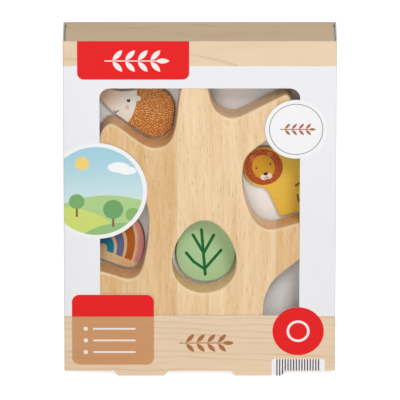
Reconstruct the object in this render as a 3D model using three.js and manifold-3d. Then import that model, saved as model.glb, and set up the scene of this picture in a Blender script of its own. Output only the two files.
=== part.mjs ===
// A balancing tree game in its window carton: a notched wooden tree, nine wooden animals and
// shapes lying in a die-cut card tray, and a folded card cover with an opening top flap.
// Millimetres, +Z up, the window faces -Y, the carton stands on z = 0.
import * as THREE from 'three';
import { mergeVertices } from 'three/addons/utils/BufferGeometryUtils.js';
import Module from 'manifold-3d';

const wasm = await Module();
wasm.setup();

// Carton
const SIDE_ROOM = 9.6;
const PANEL_HEIGHT = 251.4;
const BOARD = 1;
const FOLD_GAP = 0.3;
const FOOT_HEIGHT = 4;
const FOOT_WIDTH = 39;
const FOOT_SLOPE = 3;
const FOOT_SPACING = 84.5;
const LID_SLIT = 1.2;
const TUCK_HEIGHT = 14;
const TUCK_TAPER = 6;
const TUCK_LEAN = THREE.MathUtils.degToRad(20);
const DUST_FLAP_LENGTH = 34;
const DUST_FLAP_FRONT_SETBACK = 4;
const DUST_FLAP_FRONT_SLOPE = 0.66;
const DUST_FLAP_BACK_SETBACK = 6;
const BOTTOM_FLAP_LENGTH = 33;
const BOTTOM_FLAP_SETBACK = 2;

// Window in the front panel, with the printed shapes that reach into it
const WINDOW_WIDTH = 143;
const WINDOW_BOTTOM = 46.4;
const WINDOW_TOP = 219.9;
const WINDOW_CORNER = 7.6;
const PICTURE_DISC = { x: -74.1, z: 142, radius: 36.5 };
const WHITE_DISC = { x: 68.7, z: 188.9, radius: 22.2 };
const RED_DISC = { x: 70.7, z: 34.5, radius: 18.4 };
const TAB_LEFT = -92;
const TAB_RIGHT = -32.8;
const TAB_TOP = 62.7;
const TAB_CORNER = 5.7;

// Card tray behind the tree
const TRAY_FIT = 0.6;
const TRAY_TOP_ROOM = 16;
const TRAY_FLOOR = 2;
const TRAY_SETBACK = 4.7;
const POCKET_FIT = 0.5;
const PAD_INSET = 8;

// Wooden pieces
const TREE_SPAN = 173.8;
const TREE_THICKNESS = 20;
const PIECE_THICKNESS = 16;
const SEAT_GAP = 0.3;
const PIECE_STAND_OFF = 1.1;
const TREE_EDGE = 2;
const PIECE_EDGE = 1.2;
const HOLE_FIT = 1.6;
const LEAF_CENTRE = { x: 3.2, z: 90.8 };
const LEAF_HALF_WIDTH = 21.2;
const LEAF_HALF_HEIGHT = 26;
const LEAF_TAPER = 0.17;
const LEAF_REST = { x: 1, z: -0.8 };

// Planes of the stack, from the window to the back
const stackDepth = SEAT_GAP + TREE_THICKNESS + PIECE_STAND_OFF + PIECE_THICKNESS + SEAT_GAP + TRAY_FLOOR;
const cartonDepth = stackDepth + FOLD_GAP + 2 * BOARD;
const frontOuter = -cartonDepth / 2;
const frontInner = frontOuter + BOARD;
const backOuter = cartonDepth / 2;
const backInner = backOuter - BOARD;
const treeFront = frontInner + SEAT_GAP;
const treeBack = treeFront + TREE_THICKNESS;
const pieceFront = treeBack + PIECE_STAND_OFF;
const pieceBack = pieceFront + PIECE_THICKNESS;
const pocketFloor = pieceBack + SEAT_GAP;
const trayBack = backInner - FOLD_GAP;
const trayFace = treeBack + TRAY_SETBACK;
const cartonWidth = TREE_SPAN + 2 * (SIDE_ROOM + BOARD);
const panelTop = FOOT_HEIGHT + PANEL_HEIGHT;
const bottomTop = FOOT_HEIGHT + BOARD;
const sideInner = cartonWidth / 2 - BOARD;
const trayHalf = sideInner - TRAY_FIT;
const trayBottom = bottomTop + BOARD + 2 * FOLD_GAP;
const trayTop = panelTop - TRAY_TOP_ROOM;
const treeFoot = bottomTop + SEAT_GAP;

// Materials
const paint = (color, roughness) => new THREE.MeshStandardMaterial({ color, roughness, metalness: 0 });
const whiteBoard = () => paint(0xe8e8ec, 0.55);
const printedBoard = () => paint(0xead3b4, 0.55);
const wood = () => paint(0xeccfa0, 0.6);

const group = new THREE.Group();

function place(name, geometry, material) {
  const mesh = new THREE.Mesh(geometry, material);
  mesh.name = name;
  group.add(mesh);
  return mesh;
}

// Outlines are lists of Vector2, x to the right and y standing for the carton's z.
const v2 = ([x, z]) => new THREE.Vector2(x, z);

function smooth(points, steps) {
  const curve = new THREE.CatmullRomCurve3(
    points.map(([x, z]) => new THREE.Vector3(x, z, 0)), true, 'centripetal');
  const samples = curve.getPoints(steps * points.length).slice(0, -1);
  return samples.map((p) => new THREE.Vector2(p.x, p.y));
}

function circle({ x, z, radius }, sides = 48) {
  return Array.from({ length: sides }, (_, i) => {
    const turn = (i / sides) * 2 * Math.PI;
    return new THREE.Vector2(x + radius * Math.cos(turn), z + radius * Math.sin(turn));
  });
}

function roundedBox(left, right, bottom, top, lowCorner, highCorner) {
  const shape = new THREE.Shape();
  shape.moveTo(left + lowCorner, bottom);
  shape.lineTo(right - lowCorner, bottom);
  shape.absarc(right - lowCorner, bottom + lowCorner, lowCorner, -Math.PI / 2, 0);
  shape.absarc(right - highCorner, top - highCorner, highCorner, 0, Math.PI / 2);
  shape.absarc(left + highCorner, top - highCorner, highCorner, Math.PI / 2, Math.PI);
  shape.absarc(left + lowCorner, bottom + lowCorner, lowCorner, Math.PI, 1.5 * Math.PI);
  return tidy(shape.getPoints(6));
}

// An outline without points that repeat.
function tidy(outline) {
  const least = 0.01;
  return outline.filter((p, i) => p.distanceTo(outline[(i + 1) % outline.length]) > least);
}

// The outline moved outwards along its own normals.
function grow(outline, by) {
  const ring = THREE.ShapeUtils.isClockWise(outline) ? [...outline].reverse() : outline;
  return ring.map((p, i) => {
    const before = ring[(i + ring.length - 1) % ring.length];
    const after = ring[(i + 1) % ring.length];
    const along = after.clone().sub(before).normalize();
    return new THREE.Vector2(p.x + along.y * by, p.y - along.x * by);
  });
}

function turned(outline, { x, z, tilt = 0 }) {
  const pivot = new THREE.Vector2();
  return outline.map((p) => p.clone().rotateAround(pivot, -tilt).add(new THREE.Vector2(x, z)));
}

// A plate with the given outline between two planes, its rim rounded by edge.
function slab(outline, yFront, yBack, edge = 0, holes = []) {
  const shape = new THREE.Shape(outline);
  shape.holes = holes.map((hole) => new THREE.Path(hole));
  const geometry = new THREE.ExtrudeGeometry(shape, {
    depth: yBack - yFront - 2 * edge,
    bevelEnabled: edge > 0,
    bevelThickness: edge,
    bevelSize: edge,
    bevelOffset: -edge,
    bevelSegments: 2,
    steps: 1,
  });
  geometry.rotateX(Math.PI / 2);
  return geometry.translate(0, yBack - edge, 0);
}

function box(x0, x1, y0, y1, z0, z1) {
  const geometry = new THREE.BoxGeometry(x1 - x0, y1 - y0, z1 - z0);
  return geometry.translate((x0 + x1) / 2, (y0 + y1) / 2, (z0 + z1) / 2);
}

function solidOf(geometry) {
  const bare = geometry.clone();
  bare.deleteAttribute('normal');
  bare.deleteAttribute('uv');
  const merged = mergeVertices(bare, 1e-4);
  return new wasm.Manifold(new wasm.Mesh({
    numProp: 3,
    vertProperties: Float32Array.from(merged.attributes.position.array),
    triVerts: Uint32Array.from(merged.index.array),
  }));
}

function geometryOf(solid) {
  const mesh = solid.getMesh();
  const geometry = new THREE.BufferGeometry();
  geometry.setAttribute('position', new THREE.BufferAttribute(mesh.vertProperties, 3));
  geometry.setIndex(new THREE.BufferAttribute(mesh.triVerts, 1));
  return geometry;
}

// A tall panel with two feet cut from the fold at its lower edge.
function standingPanel() {
  const half = cartonWidth / 2;
  const points = [[-half, FOOT_HEIGHT]];
  for (const side of [-1, 1]) {
    const middle = (side * FOOT_SPACING) / 2;
    points.push([middle - FOOT_WIDTH / 2, FOOT_HEIGHT]);
    points.push([middle - FOOT_WIDTH / 2 + FOOT_SLOPE, 0]);
    points.push([middle + FOOT_WIDTH / 2 - FOOT_SLOPE, 0]);
    points.push([middle + FOOT_WIDTH / 2, FOOT_HEIGHT]);
  }
  points.push([half, FOOT_HEIGHT], [half, panelTop], [-half, panelTop]);
  return points.map(v2);
}

// Front panel: a window cut round the discs and the tab that reach into it
function frontPanel() {
  const through = BOARD;
  const y0 = frontOuter - through;
  const y1 = frontInner + through;
  const half = WINDOW_WIDTH / 2;
  const opening = roundedBox(-half, half, WINDOW_BOTTOM, WINDOW_TOP, WINDOW_CORNER, WINDOW_CORNER);
  const tabFoot = WINDOW_BOTTOM - TAB_CORNER * 2;
  const tab = roundedBox(TAB_LEFT, TAB_RIGHT, tabFoot, TAB_TOP, TAB_CORNER, TAB_CORNER);
  const kept = [circle(PICTURE_DISC, 72), circle(WHITE_DISC), circle(RED_DISC), tab];
  let cut = solidOf(slab(opening, y0, y1));
  for (const outline of kept) {
    cut = cut.subtract(solidOf(slab(outline, y0 - through, y1 + through)));
  }
  return geometryOf(solidOf(slab(standingPanel(), frontOuter, frontInner)).subtract(cut));
}

// Carton cover: front, sides, bottom with its inner flaps
place('front_panel', frontPanel(), whiteBoard());
const wallFront = frontInner + FOLD_GAP;
const wallBack = backInner - FOLD_GAP;
for (const [name, side] of [['left', -1], ['right', 1]]) {
  const inner = side * sideInner;
  const outer = (side * cartonWidth) / 2;
  place(`${name}_side_panel`,
    box(Math.min(inner, outer), Math.max(inner, outer), wallFront, wallBack, FOOT_HEIGHT, panelTop - FOLD_GAP),
    whiteBoard());
  const root = side * (sideInner - FOLD_GAP);
  const tip = root - side * BOTTOM_FLAP_LENGTH;
  place(`${name}_bottom_flap`,
    box(Math.min(root, tip), Math.max(root, tip), wallFront + BOTTOM_FLAP_SETBACK,
      wallBack - BOTTOM_FLAP_SETBACK, bottomTop + FOLD_GAP, bottomTop + FOLD_GAP + BOARD),
    whiteBoard());
}
place('bottom_panel',
  box(-(sideInner - FOLD_GAP), sideInner - FOLD_GAP, wallFront, wallBack, FOOT_HEIGHT, bottomTop),
  printedBoard());

// Top flap, hinged along the front fold, with its tuck and the two dust flaps under it
const lidHalf = sideInner - LID_SLIT;
place('lid_panel', box(-lidHalf, lidHalf, wallFront, wallBack, panelTop - BOARD, panelTop), printedBoard());

function tuckFlap() {
  const shape = new THREE.Shape([
    [-lidHalf, 0], [-lidHalf + TUCK_TAPER, -TUCK_HEIGHT], [lidHalf - TUCK_TAPER, -TUCK_HEIGHT], [lidHalf, 0],
  ].map(v2));
  return new THREE.ExtrudeGeometry(shape, { depth: BOARD, bevelEnabled: false }).rotateX(Math.PI / 2);
}
const tuck = place('lid_tuck_flap', tuckFlap(), whiteBoard());
const tuckTop = panelTop - BOARD - FOLD_GAP - BOARD * Math.sin(TUCK_LEAN);
tuck.position.set(0, wallBack - FOLD_GAP, tuckTop);
tuck.rotation.x = -TUCK_LEAN;

// A dust flap's outline seen from above: x from the hinge inwards, y from front to back.
function dustFlap(side) {
  const front = frontInner + DUST_FLAP_FRONT_SETBACK;
  const back = backInner - DUST_FLAP_BACK_SETBACK;
  const root = side * (sideInner - FOLD_GAP);
  const tip = root - side * DUST_FLAP_LENGTH;
  const shape = new THREE.Shape([
    [root, front], [tip, front + DUST_FLAP_LENGTH * DUST_FLAP_FRONT_SLOPE], [tip, back], [root, back],
  ].map(v2));
  const geometry = new THREE.ExtrudeGeometry(shape, { depth: BOARD, bevelEnabled: false });
  return geometry.translate(0, 0, panelTop - 2 * BOARD - FOLD_GAP);
}
place('left_dust_flap', dustFlap(-1), whiteBoard());
place('right_dust_flap', dustFlap(1), whiteBoard());

// Tree: one board, cut round a hole for the leaf and open notches between its limbs
const treeRise = [
  [0, treeFoot], [24, treeFoot], [47, treeFoot], [53.2, treeFoot + 2], [54.8, treeFoot + 7],
  [49.6, 23], [46.4, 36], [45.9, 47], [46.6, 58], [51.6, 70.2], [57.3, 76.7],
  [64.5, 82.8], [71.3, 88.1], [79, 94], [84.5, 101], [86.3, 109], [84, 116.5], [78.5, 118.8],
  [71.3, 117], [62.4, 114.4], [50.2, 111.8], [41.6, 115.5], [35.2, 126.5], [31.2, 141.7], [30.7, 156],
  [33, 166.5], [40.2, 173.7], [50.5, 181.5], [58.5, 190], [63.6, 199.5], [65.4, 209], [62, 214.4],
  [55, 211.5], [44.5, 206.1], [34, 200.6], [23, 196.6], [13.5, 200.4], [8.7, 207.2], [6.4, 217],
  [4.2, 226], [-3.5, 231], [-10.6, 227], [-13.7, 218], [-15.7, 203.4], [-18.1, 186.6], [-22.5, 177.4],
  [-31, 174], [-38.5, 175.6], [-49.9, 183.6], [-58, 190], [-64, 192.6], [-69.5, 188], [-72.3, 179],
  [-71.5, 170],
  [-66, 163.5], [-56, 157], [-47, 148], [-41, 138.5], [-37, 125], [-36.8, 111.3], [-39.2, 90.8],
  [-43.5, 77.8], [-50.6, 74], [-62.1, 77.3], [-70.6, 79.7], [-79, 81], [-85.5, 77.5], [-87.5, 69.5],
  [-82.5, 61.5], [-72, 57.5], [-59, 52.5], [-51.5, 44], [-49, 33], [-51, 21],
  [-55.2, treeFoot + 7], [-53.6, treeFoot + 2], [-47, treeFoot], [-24, treeFoot],
];
const TRUNK = { left: -36.8, right: 30.7, bottom: 124, top: 170 };
const STUMP = { left: -49, right: 45.9, top: 48 };
const treeReach = treeRise.map(([x]) => x);
const treeSpread = TREE_SPAN / (Math.max(...treeReach) - Math.min(...treeReach));
const spread = (x) => x * treeSpread;
const treeOutline = smooth(treeRise, 3).map((p) => v2([spread(p.x), Math.max(p.y, treeFoot)]));

function egg(extra) {
  const sides = 36;
  return Array.from({ length: sides }, (_, i) => {
    const turn = (i / sides) * 2 * Math.PI;
    const reach = Math.cos(turn) * (1 - LEAF_TAPER * Math.sin(turn));
    return new THREE.Vector2((LEAF_HALF_WIDTH + extra) * reach, (LEAF_HALF_HEIGHT + extra) * Math.sin(turn));
  });
}
place('tree', slab(treeOutline, treeFront, treeBack, TREE_EDGE, [turned(egg(HOLE_FIT), LEAF_CENTRE)]), wood());

// Loose pieces, each drawn upright about its own foot or middle and then placed and tilted
const rad = THREE.MathUtils.degToRad;

const hedgehog = [
  [-18.3, 2], [-8, 1.3], [3, 1], [8, 1.5], [12.4, 3.8], [15.6, 7], [17.2, 11.2], [17.3, 16], [15.7, 20.5],
  [12, 28], [7.5, 33], [1.5, 36], [-7, 36], [-15, 31.5], [-22, 23.5], [-30, 17.8], [-37, 15.6], [-42.2, 14],
  [-45.2, 11.4], [-44.4, 8.6], [-40, 6.4], [-33, 4.2], [-26, 2.6],
];
const lion = [
  [-12.2, -0.8], [-8, -1.5], [2, -1.2], [12, -0.8], [16.6, 1], [18.6, 8],
  [19.4, 20], [18.8, 32], [14.5, 41.5], [7, 45.8], [0, 46.4], [-5.5, 50.4], [-12.5, 53], [-20.5, 51.8],
  [-26.8, 47], [-29.7, 39.5], [-28.6, 31.5], [-23.5, 25.2], [-17.4, 22], [-15.2, 14], [-13.6, 5],
];
// The rainbow's bands are centred on its origin. Its far side is shorter than the side in the window.
const rainbow = [
  [-15.5, -6.6], [0, -6.6], [14, -6.1], [22.5, -5.5], [27, -3.3], [29.2, 0.8], [29.4, 7], [27.8, 15],
  [24.4, 22],
  [19.6, 28], [12.5, 32.4], [4, 34], [-4.5, 32.6], [-11.5, 28], [-16.6, 21], [-19.8, 12.5], [-20.8, 4],
  [-20, -2.2],
];
const cloud = [
  [-21, 0.6], [0, 0], [20, 0.6], [23.6, 5], [21.8, 10], [16.5, 12], [13.5, 16.8], [7, 18.6], [1, 16.2],
  [-4.5, 18], [-11, 16.8], [-14.4, 12], [-20.5, 11], [-23.8, 6],
];
const bird = [
  [-4, 0], [3, 0], [7.5, 4], [10.6, 11], [11, 19], [9.6, 27.5], [4.6, 34], [-1.6, 35.4], [-6.6, 32.6],
  [-10.8, 27.6], [-9.4, 22.4], [-9.4, 13], [-8.4, 5],
];
const fox = [
  [-17, 0], [0, 0], [14.5, 0.6], [19.4, 5], [18, 12], [10.5, 16], [1, 18], [-3.4, 23], [-3.6, 29.5],
  [-6, 33.8], [-11.6, 31], [-17.2, 33.8], [-19.4, 29.5], [-19.8, 20], [-19.8, 8],
];
const mushroom = [
  [-6.6, 0.6], [0, 0], [6.6, 0.6], [8, 6], [7, 13.6], [13.5, 14.4], [16, 18.6], [13.6, 27.4], [7.6, 34],
  [0, 36], [-7.6, 34], [-13.6, 27.4], [-16, 18.6], [-13.5, 14.4], [-7, 13.6], [-8, 6],
];
const turtle = [
  [-13.4, 3.6], [-10, 0], [-6, 2.4], [-0.4, 5], [4.8, 2.4], [8.8, 0], [13, 2.4], [15.2, 8], [14.4, 13.6],
  [10, 19.6], [2.6, 23], [-5, 21.6], [-9.6, 19], [-14, 20.2], [-17.4, 16.4], [-16.4, 11.4], [-14, 8.2],
];

// Places follow the tree's notches for what shows in the window, and the tray's edges for what
// is stowed behind the printed panels.
const stowRim = 3.4;
const pieces = {
  leaf: { outline: egg(0), x: LEAF_CENTRE.x + LEAF_REST.x, z: LEAF_CENTRE.z + LEAF_REST.z, color: 0xa6c792 },
  hedgehog: { outline: smooth(hedgehog, 3), x: spread(-43.4), z: 178.4, tilt: rad(34), color: 0xaf6e32 },
  lion: { outline: smooth(lion, 2), x: spread(69.5), z: 118.5, tilt: rad(-14), color: 0xc8a037 },
  rainbow: { outline: smooth(rainbow, 3), x: spread(-71.3), z: 88.7, tilt: rad(22.7), color: 0xe2c79b },
  cloud: { outline: smooth(cloud, 3), x: spread(43), z: trayTop - stowRim - 19, color: 0xdfe9f0 },
  bird: { outline: smooth(bird, 3), x: trayHalf - stowRim - 11.2, z: 181, color: 0x8fc3de },
  fox: { outline: smooth(fox, 3), x: -trayHalf + stowRim + 20.2, z: 131.5, color: 0xd9803f },
  mushroom: {
    outline: smooth(mushroom, 3), x: -trayHalf + stowRim + 16.2, z: trayBottom + stowRim, color: 0xd8392f,
  },
  turtle: { outline: smooth(turtle, 3), x: trayHalf - stowRim - 15.4, z: trayBottom + stowRim, color: 0x5fa08e },
};
for (const [name, { outline, color, ...at }] of Object.entries(pieces)) {
  place(name, slab(turned(outline, at), pieceFront, pieceBack, PIECE_EDGE), paint(color, 0.5));
}

// Card tray: a pocket for each piece and two pads that carry the tree
function tray() {
  const bottom = trayBottom;
  let solid = solidOf(box(-trayHalf, trayHalf, trayFace, trayBack, bottom, trayTop));
  const padFront = treeBack + SEAT_GAP;
  const pads = [
    [spread(TRUNK.left) + PAD_INSET, spread(TRUNK.right) - PAD_INSET, TRUNK.bottom, TRUNK.top],
    [spread(STUMP.left) + PAD_INSET, spread(STUMP.right) - PAD_INSET, treeFoot + PAD_INSET, STUMP.top],
  ];
  for (const [x0, x1, z0, z1] of pads) {
    solid = solid.add(solidOf(box(x0, x1, padFront, trayFace + TRAY_FLOOR, z0, z1)));
  }
  for (const { outline, ...at } of Object.values(pieces)) {
    const pocket = grow(turned(outline, at), POCKET_FIT);
    solid = solid.subtract(solidOf(slab(pocket, pieceFront, pocketFloor)));
  }
  return geometryOf(solid);
}
place('insert_tray', tray(), paint(0xf0f0f2, 0.8));
place('back_panel', slab(standingPanel(), backInner, backOuter), whiteBoard());

export default group;
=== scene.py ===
# %% [markdown]
# # A balancing tree game in its window carton
# The real thing is a card carton with a big window. Behind the window stands a notched tree cut
# from one wooden board, and behind the tree lie painted wooden animals and shapes in a white tray.
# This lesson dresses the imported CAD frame: it rounds the wooden pieces as a sander does, folds the
# cover from one sheet, and paints everything with node materials.

# %% Load the frame
import math

import bpy
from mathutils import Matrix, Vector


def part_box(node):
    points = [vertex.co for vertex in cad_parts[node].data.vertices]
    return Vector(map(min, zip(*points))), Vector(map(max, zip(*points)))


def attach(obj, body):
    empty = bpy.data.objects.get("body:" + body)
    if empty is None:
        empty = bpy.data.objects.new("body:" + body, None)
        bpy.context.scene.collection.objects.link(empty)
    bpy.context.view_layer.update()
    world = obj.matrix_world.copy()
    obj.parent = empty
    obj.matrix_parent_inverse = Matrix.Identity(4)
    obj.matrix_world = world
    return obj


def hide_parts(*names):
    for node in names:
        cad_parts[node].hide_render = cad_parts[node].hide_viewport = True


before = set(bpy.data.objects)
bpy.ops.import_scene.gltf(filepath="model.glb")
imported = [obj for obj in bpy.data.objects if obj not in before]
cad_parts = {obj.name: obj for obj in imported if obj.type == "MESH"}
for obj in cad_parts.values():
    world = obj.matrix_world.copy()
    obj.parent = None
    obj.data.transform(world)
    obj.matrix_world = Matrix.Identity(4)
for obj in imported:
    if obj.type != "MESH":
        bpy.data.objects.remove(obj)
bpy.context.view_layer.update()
MM = 0.001

# %% [markdown]
# ## Camera
# The carton was seen from the front and about 20 degrees from above, with upright edges that
# stay parallel. A long lens from far away gives that without any shift of the frame.

# %% Camera
CAMERA_RISE = math.radians(20.4)
CAMERA_DISTANCE = 6.0
FAR_CLIP = 200
FRAME_WIDTH = 286.04 * MM
SENSOR = 36.0
FRONT_PLANE = -21 * MM
AIM = (0.14 * MM, FRONT_PLANE, 135.2 * MM)

camera_data = bpy.data.cameras.new("camera")
camera = bpy.data.objects.new("camera", camera_data)
bpy.context.scene.collection.objects.link(camera)
camera_data.sensor_width = SENSOR
camera_data.lens = SENSOR * CAMERA_DISTANCE / FRAME_WIDTH
camera_data.clip_end = FAR_CLIP
camera.location = (
    AIM[0],
    AIM[1] - CAMERA_DISTANCE * math.cos(CAMERA_RISE),
    AIM[2] + CAMERA_DISTANCE * math.sin(CAMERA_RISE),
)
camera.rotation_euler = (math.pi / 2 - CAMERA_RISE, 0, 0)
bpy.context.scene.camera = camera
bpy.context.scene.view_settings.view_transform = "Standard"
print("camera lens", round(camera_data.lens, 1), "mm")

# %% [markdown]
# ## Small helpers
# Operators act on whatever is selected, so every step starts from an empty selection. Faces are
# picked in code, by where they are or which way they point.


# %% Selection helpers
def edit_mode():
    bpy.ops.object.mode_set(mode="EDIT")


def object_mode():
    bpy.ops.object.mode_set(mode="OBJECT")


def select_mesh(action):
    bpy.ops.mesh.select_all(action=action)


def clear_selection():
    active = bpy.context.view_layer.objects.active
    if active and active.mode != "OBJECT":
        object_mode()
    bpy.ops.object.select_all(action="DESELECT")


def take(piece):
    clear_selection()
    piece.select_set(True)
    bpy.context.view_layer.objects.active = piece


def pick_faces(piece, wanted):
    edit_mode()
    bpy.ops.mesh.select_mode(type="FACE")
    select_mesh("DESELECT")
    object_mode()
    for face in piece.data.polygons:
        face.select = wanted(face)
    edit_mode()


def apply_modifier(piece, kind, **settings):
    modifier = piece.modifiers.new(kind.lower(), kind)
    for key, value in settings.items():
        setattr(modifier, key, value)
    bpy.ops.object.modifier_apply(modifier=modifier.name)


# %% [markdown]
# ## Sanded wood
# Each wooden piece is sawn from a board and its rim is rounded over. The saw line is already in
# the CAD solid, so a copy of it is cut down to that one ring of edges. The ring is filled, pulled
# to the board's thickness, and both faces get a quarter-round rim from a few inset steps.

# %% Keep one saw line of the solid
WELD = 0.01 * MM
NEAR = 0.02 * MM
LINE_SMOOTHING = 2


def saw_line(node, name, depth):
    piece = bpy.data.objects.new(name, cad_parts[node].data.copy())
    bpy.context.scene.collection.objects.link(piece)
    take(piece)
    piece.data.materials.clear()
    edit_mode()
    bpy.ops.mesh.customdata_custom_splitnormals_clear()
    select_mesh("SELECT")
    bpy.ops.mesh.remove_doubles(threshold=WELD)
    bpy.ops.mesh.select_mode(type="VERT")
    select_mesh("DESELECT")
    object_mode()
    for point in piece.data.vertices:
        point.select = abs(point.co.y - depth) > NEAR
    edit_mode()
    bpy.ops.mesh.delete(type="VERT")
    object_mode()
    return piece


def smooth_line(piece):
    take(piece)
    edit_mode()
    select_mesh("SELECT")
    bpy.ops.mesh.edge_face_add()
    object_mode()
    apply_modifier(piece, "SUBSURF", levels=LINE_SMOOTHING, render_levels=LINE_SMOOTHING)
    edit_mode()
    bpy.ops.mesh.select_mode(type="VERT")
    select_mesh("DESELECT")
    bpy.ops.mesh.select_non_manifold(
        extend=False, use_wire=False, use_boundary=True,
        use_multi_face=False, use_non_contiguous=False, use_verts=False)
    select_mesh("INVERT")
    bpy.ops.mesh.delete(type="VERT")
    select_mesh("SELECT")
    bpy.ops.mesh.edge_face_add()
    object_mode()


# %% Thickness and rounded rims
RIM_STEPS = 5
HOLDING_RIM = 0.3 * MM
BROAD_FACE = 100 * MM * MM
SQUARE_ON = 0.99


def thicken(shift, thickness):
    edit_mode()
    select_mesh("SELECT")
    bpy.ops.transform.translate(value=(0, shift, 0))
    bpy.ops.mesh.extrude_region_move(TRANSFORM_OT_translate={"value": (0, thickness, 0)})
    select_mesh("SELECT")
    bpy.ops.mesh.normals_make_consistent(inside=False)
    object_mode()


def rim_steps(radius):
    for step in range(RIM_STEPS):
        a = math.pi / 2 * step / RIM_STEPS
        b = math.pi / 2 * (step + 1) / RIM_STEPS
        yield radius * (math.cos(a) - math.cos(b)), radius * (math.sin(b) - math.sin(a))


def is_broad(face, way):
    return face.normal.y * way > SQUARE_ON and face.area > BROAD_FACE


def round_rims(piece, rims):
    for way, radius in zip((-1, 1), rims):
        pick_faces(piece, lambda face: is_broad(face, way))
        for inward, outward in rim_steps(radius):
            bpy.ops.mesh.inset(thickness=inward, depth=outward, use_even_offset=True)
        bpy.ops.mesh.inset(thickness=HOLDING_RIM, depth=0, use_even_offset=True)
        object_mode()


# %% One sanded piece
WOOD_SMOOTH_ANGLE = math.radians(50)


def settle(piece, node):
    take(piece)
    bpy.ops.object.shade_smooth_by_angle(angle=WOOD_SMOOTH_ANGLE)
    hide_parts(node)
    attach(piece, node)
    print(piece.name, len(piece.data.polygons), "faces")
    return piece


def sanded_board(node, name, rims, cad_radius):
    low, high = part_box(node)
    piece = saw_line(node, name, low[1] + cad_radius)
    smooth_line(piece)
    thicken(rims[0] - cad_radius, high[1] - low[1] - sum(rims))
    round_rims(piece, rims)
    return settle(piece, node)


# %% [markdown]
# The tree has a second saw line inside the first: the hole for the leaf. The board is made from the
# outer line, and the inner line becomes a cutter whose two ends flare, so that the cut leaves the
# hole with a rounded rim too.

# %% The tree board with its hole
CUTTER_REACH = 3 * MM


def widest(piece):
    xs = [point.co.x for point in piece.data.vertices]
    return max(xs) - min(xs)


def flare(cutter, rims):
    take(cutter)
    xs = [point.co.x for point in cutter.data.vertices]
    zs = [point.co.z for point in cutter.data.vertices]
    middle = ((min(xs) + max(xs)) / 2, 0, (min(zs) + max(zs)) / 2)
    half = ((max(xs) - min(xs)) / 2, (max(zs) - min(zs)) / 2)
    for way, radius in zip((-1, 1), rims):
        pick_faces(cutter, lambda face: is_broad(face, way))
        wide = 0.0
        for outward, along in rim_steps(radius):
            bpy.ops.mesh.extrude_region_move(TRANSFORM_OT_translate={"value": (0, way * along, 0)})
            grown = wide + outward
            bpy.ops.transform.resize(
                value=((half[0] + grown) / (half[0] + wide), 1, (half[1] + grown) / (half[1] + wide)),
                center_override=middle)
            wide = grown
        bpy.ops.mesh.extrude_region_move(TRANSFORM_OT_translate={"value": (0, way * CUTTER_REACH, 0)})
        object_mode()


def sanded_tree(rims, cad_radius):
    low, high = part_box("tree")
    saw_line("tree", "sanded_tree", low[1] + cad_radius)
    edit_mode()
    select_mesh("SELECT")
    bpy.ops.mesh.separate(type="LOOSE")
    object_mode()
    cutter, board = sorted(bpy.context.selected_objects, key=widest)
    board.name = "sanded_tree"
    for piece in (cutter, board):
        smooth_line(piece)
        thicken(rims[0] - cad_radius, high[1] - low[1] - sum(rims))
    flare(cutter, rims)
    take(board)
    round_rims(board, rims)
    apply_modifier(board, "BOOLEAN", operation="DIFFERENCE", object=cutter, solver="EXACT")
    bpy.data.objects.remove(cutter)
    return settle(board, "tree")


# %% Tree and loose pieces
TREE_RIMS = (2.2 * MM, 0.7 * MM)
TREE_CAD_RIM = 2.0 * MM
PIECE_RIMS = (0.8 * MM, 0.8 * MM)
PIECE_CAD_RIM = 1.2 * MM
LOOSE = ["leaf", "hedgehog", "lion", "rainbow", "cloud", "bird", "fox", "mushroom", "turtle"]

sanded = {"tree": sanded_tree(TREE_RIMS, TREE_CAD_RIM)}
for node in LOOSE:
    sanded[node] = sanded_board(node, "sanded_" + node, PIECE_RIMS, PIECE_CAD_RIM)

# %% [markdown]
# ## The folded cover
# The front and both sides of a carton are one sheet with soft creases. The front face is taken from
# the CAD panel, trimmed short of the folds, its upright edges are spun a quarter turn round the
# crease, and the strips are pulled back as the side panels. Solidify gives the board's thickness.

# %% Trim and fold a sheet
CREASE = 1.3 * MM
CREASE_STEPS = 4


def trim_to_folds(fold_at):
    edit_mode()
    for side in (-1, 1):
        select_mesh("SELECT")
        bpy.ops.mesh.bisect(plane_co=(side * fold_at, 0, 0), plane_no=(side, 0, 0), clear_outer=True)
    object_mode()


def fold_side(sheet, side, fold_at, front, back):
    edit_mode()
    bpy.ops.mesh.select_mode(type="EDGE")
    select_mesh("DESELECT")
    object_mode()
    points = sheet.data.vertices
    for edge in sheet.data.edges:
        edge.select = all(
            abs(points[i].co.x - side * fold_at) < NEAR and abs(points[i].co.y - front) < NEAR
            for i in edge.vertices)
    edit_mode()
    bpy.ops.mesh.spin(
        steps=CREASE_STEPS, angle=-side * math.pi / 2,
        center=(side * fold_at, front + CREASE, 0), axis=(0, 0, 1))
    bpy.ops.mesh.extrude_edges_move(TRANSFORM_OT_translate={"value": (0, back - front - CREASE, 0)})
    object_mode()


# %% Front and sides in one sheet
BOARD = 1.0 * MM
CARD_SMOOTH_ANGLE = math.radians(35)


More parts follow.
